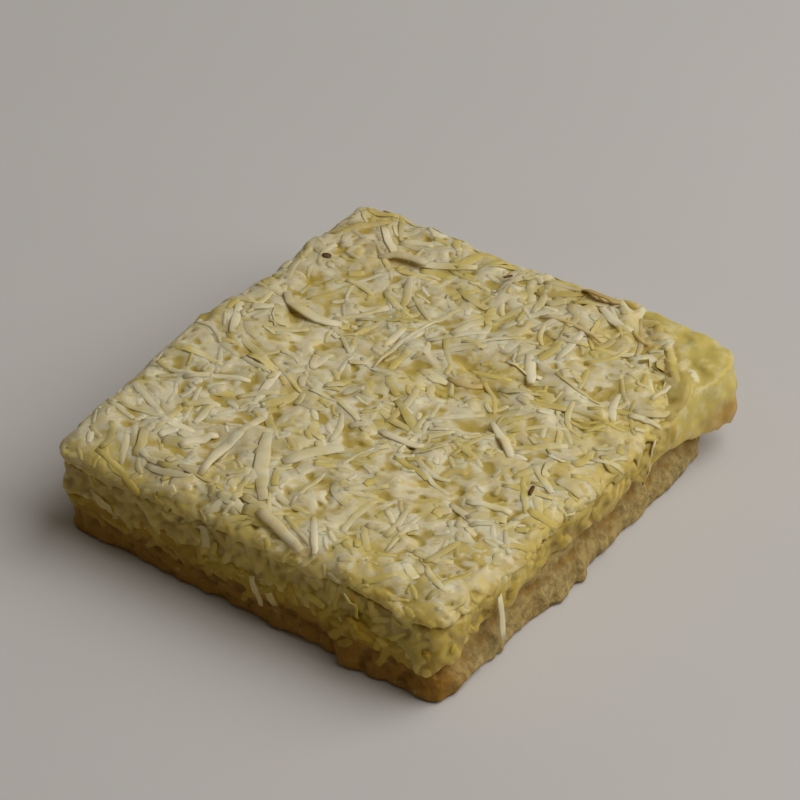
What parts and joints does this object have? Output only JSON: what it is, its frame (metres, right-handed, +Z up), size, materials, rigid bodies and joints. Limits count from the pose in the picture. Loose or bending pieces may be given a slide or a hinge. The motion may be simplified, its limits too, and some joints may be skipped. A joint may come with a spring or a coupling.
{
  "type": "lemon coconut slice",
  "caption": "Square-cut slice with a crumbly biscuit base, a thin lemon layer and a thick matted topping of shredded coconut.",
  "frame": {"origin": "the middle of the slice's footprint, on the surface it rests on", "axes": "+Z up through the layers, +Y along the longer cut side, +X along the shorter one"},
  "size_m": [0.0704, 0.0776, 0.0186],
  "materials": {
    "biscuit": "dry baked crumb, rough and slightly waxy",
    "lemon": "moist, translucent, softly glossy",
    "coconut": "moist shreds, satin, slightly translucent"
  },
  "bodies": {
    "root": {"biscuit_base": "biscuit", "lemon_layer": "lemon", "coconut_topping": "coconut"}
  },
  "joints": []
}
